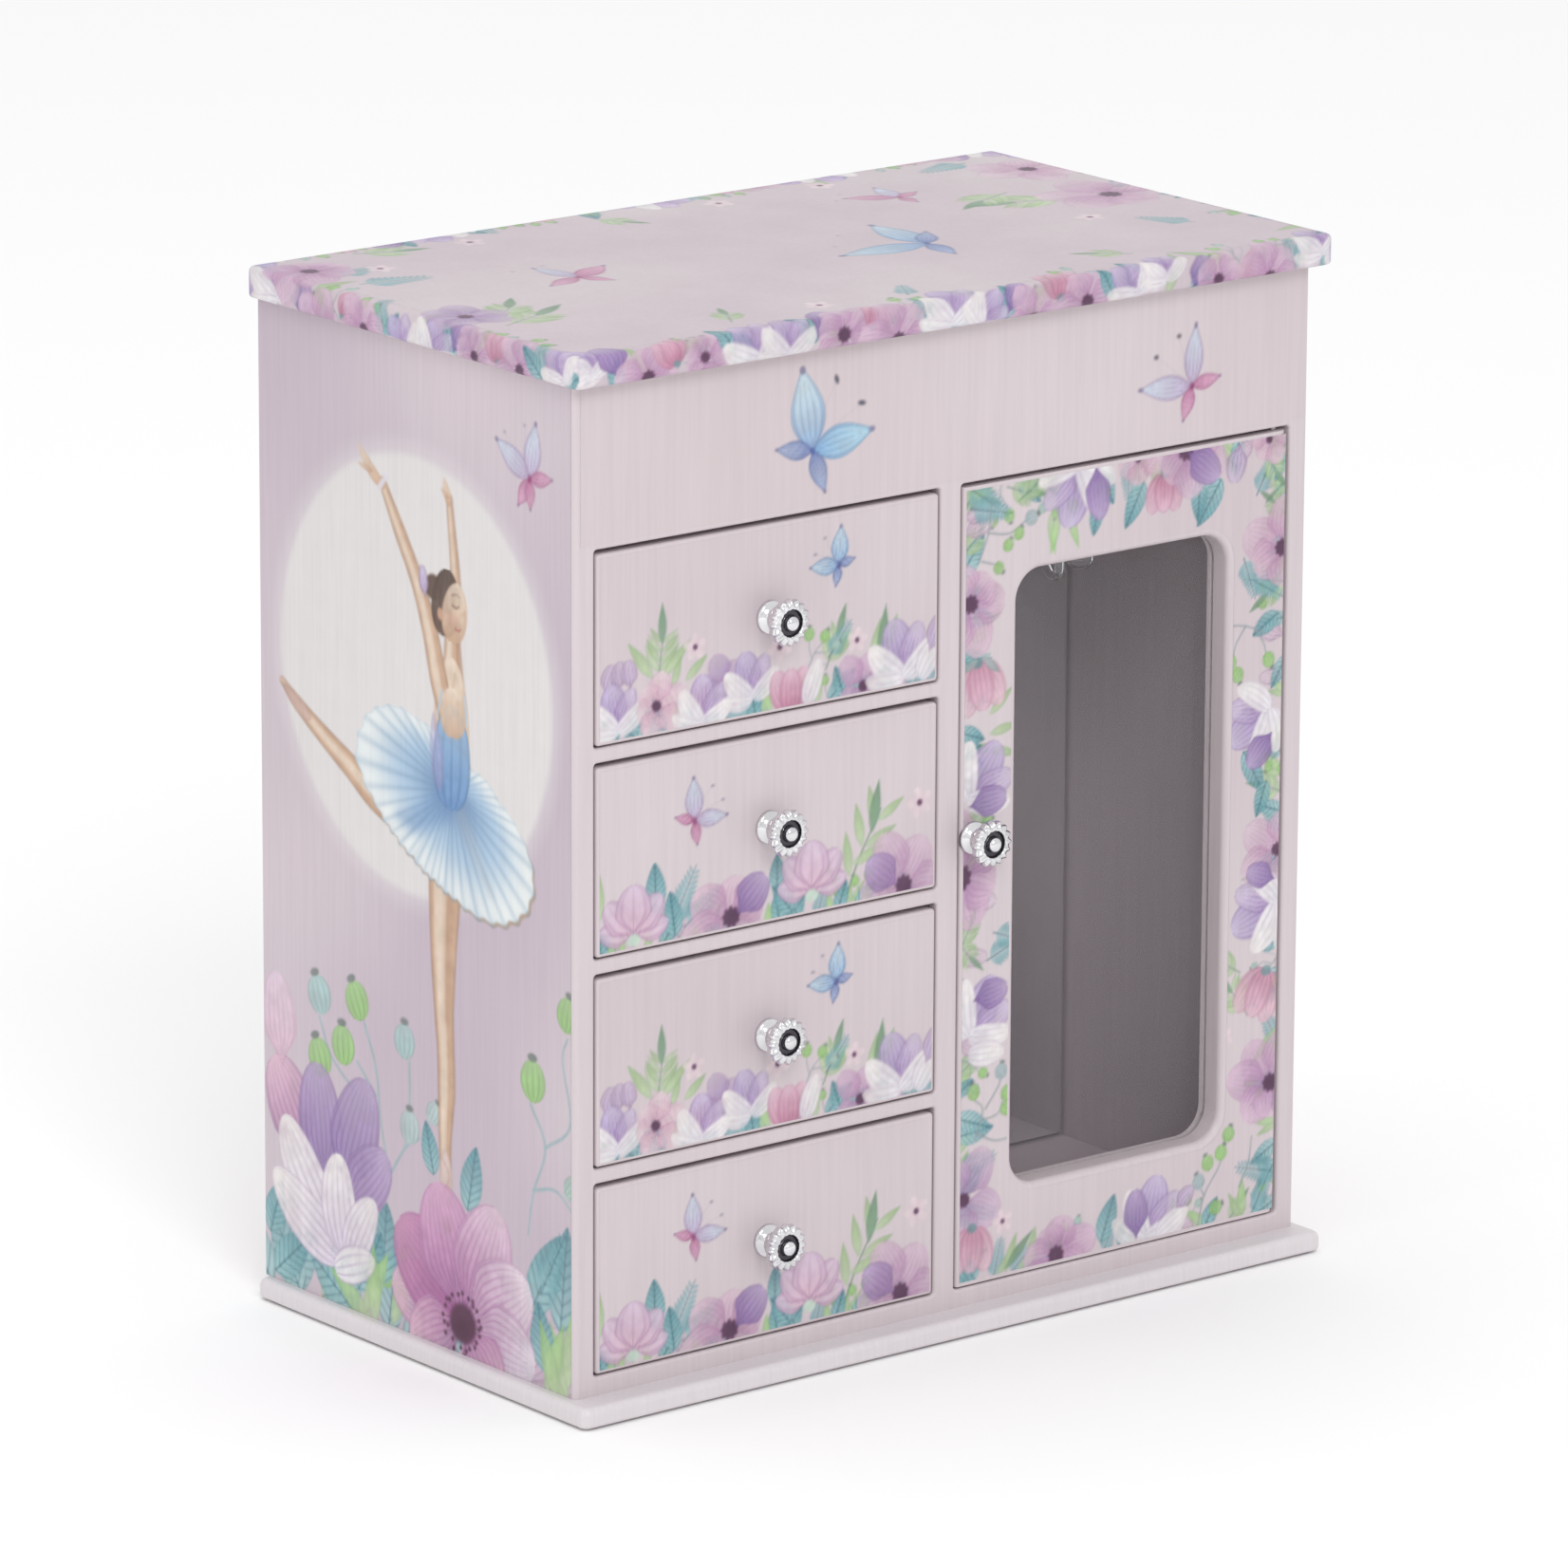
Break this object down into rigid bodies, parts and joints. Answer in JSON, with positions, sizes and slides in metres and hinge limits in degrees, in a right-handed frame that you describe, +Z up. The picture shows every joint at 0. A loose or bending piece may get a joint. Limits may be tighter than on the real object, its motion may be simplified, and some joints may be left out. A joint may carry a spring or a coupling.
{
  "type": "musical jewellery box",
  "caption": "Upright flower-printed jewellery box with drawers, a glazed necklace door, a lift-up lid and a wind-up dancing figure.",
  "frame": {"origin": "on the resting surface, under the middle of the body", "axes": "+X right, +Y towards the hinged back, +Z up; the drawers and the door face -Y"},
  "size_m": [0.2426, 0.161, 0.2703],
  "materials": {
    "painted_board": "painted satin, pale mauve pink",
    "printed_lid": "painted board under a satin flower print",
    "printed_door": "painted board under a satin flower print",
    "printed_front": "painted board under a satin flower print",
    "drawer_board": "papered board, matt",
    "velvet": "short-pile flock",
    "ring_velvet": "short-pile velvet over foam",
    "felt": "flocked paper",
    "mirror": "silvered glass",
    "window": "clear glazing",
    "clear_plastic": "clear moulded plastic",
    "white_plastic": "moulded",
    "black_plastic": "magnet case",
    "dancer": "hand-painted plastic with a net skirt",
    "chrome": "polished",
    "nickel": "nickel plated",
    "steel": "plain",
    "brass": "machined",
    "cast_zinc": "die-cast, standing in for zinc"
  },
  "bodies": {
    "cabinet": {"base_felt": "felt", "base_plate": "painted_board", "side_panel_left": "painted_board", "side_panel_right": "painted_board", "back_panel": "painted_board", "floor_board": "painted_board", "centre_divider": "painted_board", "drawer_shelves": "painted_board", "front_frame": "painted_board", "tray_floor": "painted_board", "tray_lining": "velvet", "tray_partition": "velvet", "ring_rolls": "ring_velvet", "compartment_mirror": "mirror", "mirror_backing": "painted_board", "door_magnet": "black_plastic", "door_pivot_pins": "steel", "carousel_bracket": "clear_plastic", "movement_bedplate": "cast_zinc", "tuned_comb": "steel", "governor_bracket": "steel", "turntable_bush": "brass", "hinge_fixed_leaves": "nickel", "hinge_pins": "steel", "cabinet_screws": "steel"},
    "lid": {"lid_panel": "printed_lid", "lid_mirror": "mirror", "hinge_moving_leaves": "nickel", "lid_screws": "steel"},
    "door": {"door_panel": "printed_door", "door_window": "window", "window_retainer": "painted_board", "door_knob": "chrome", "catch_plate": "steel"},
    "carousel": {"necklace_carousel": "clear_plastic"},
    "winder": {"winding_key": "nickel", "winding_arbor": "nickel"},
    "cylinder": {"music_cylinder": "brass", "turntable": "white_plastic", "dancer_spring": "steel", "ballerina": "dancer"},
    "barrel": {"spring_barrel": "brass"},
    "governor": {"governor": "white_plastic"},
    "stop": {"stop_wire": "steel"},
    "drawer_1": {"drawer_1_front": "printed_front", "drawer_1_box": "drawer_board", "drawer_1_lining": "velvet", "drawer_1_knob": "chrome"},
    "drawer_2": {"drawer_2_front": "printed_front", "drawer_2_box": "drawer_board", "drawer_2_lining": "velvet", "drawer_2_knob": "chrome"},
    "drawer_3": {"drawer_3_front": "printed_front", "drawer_3_box": "drawer_board", "drawer_3_lining": "velvet", "drawer_3_knob": "chrome"},
    "drawer_4": {"drawer_4_front": "printed_front", "drawer_4_box": "drawer_board", "drawer_4_lining": "velvet", "drawer_4_knob": "chrome"}
  },
  "joints": [
    {"name": "lid_hinge", "type": "hinge", "parent": "cabinet", "child": "lid", "pos_m": [0, 0.0676, 0.2623], "axis": [-1, 0, 0], "range_deg": [0, 100]},
    {"name": "door_hinge", "type": "hinge", "parent": "cabinet", "child": "door", "pos_m": [0.1085, -0.062, 0.115], "axis": [0, 0, 1], "range_deg": [0, 95]},
    {"name": "drawer_1_slide", "type": "slide", "parent": "cabinet", "child": "drawer_1", "axis": [0, -1, 0], "range_m": [0, 0.085]},
    {"name": "drawer_2_slide", "type": "slide", "parent": "cabinet", "child": "drawer_2", "axis": [0, -1, 0], "range_m": [0, 0.085]},
    {"name": "drawer_3_slide", "type": "slide", "parent": "cabinet", "child": "drawer_3", "axis": [0, -1, 0], "range_m": [0, 0.085]},
    {"name": "drawer_4_slide", "type": "slide", "parent": "cabinet", "child": "drawer_4", "axis": [0, -1, 0], "range_m": [0, 0.085]},
    {"name": "carousel_turn", "type": "hinge", "parent": "cabinet", "child": "carousel", "pos_m": [0.0573, -0.018, 0.2], "axis": [0, 0, 1], "continuous": true},
    {"name": "key_turn", "type": "hinge", "parent": "cabinet", "child": "winder", "pos_m": [0.0573, 0.06, 0.171], "axis": [0, 1, 0], "continuous": true},
    {"name": "dancer_turn", "type": "hinge", "parent": "cabinet", "child": "cylinder", "pos_m": [0.0573, 0.045, 0.2], "axis": [0, 0, 1], "continuous": true},
    {"name": "barrel_turn", "type": "hinge", "parent": "cabinet", "child": "barrel", "pos_m": [0.0573, 0.054, 0.171], "axis": [0, 1, 0], "continuous": true},
    {"name": "governor_turn", "type": "hinge", "parent": "cabinet", "child": "governor", "pos_m": [0.0573, 0.0519, 0.211], "axis": [1, 0, 0], "continuous": true},
    {"name": "stop_lift", "type": "slide", "parent": "cabinet", "child": "stop", "axis": [0, 0, 1], "range_m": [0, 0.0041]}
  ],
  "couplings": [
    {"joint": "barrel_turn", "follows": "dancer_turn", "ratio": -0.33333},
    {"joint": "governor_turn", "follows": "dancer_turn", "ratio": 24},
    {"joint": "stop_lift", "follows": "lid_hinge", "m_per_rad": 0.002292}
  ]
}
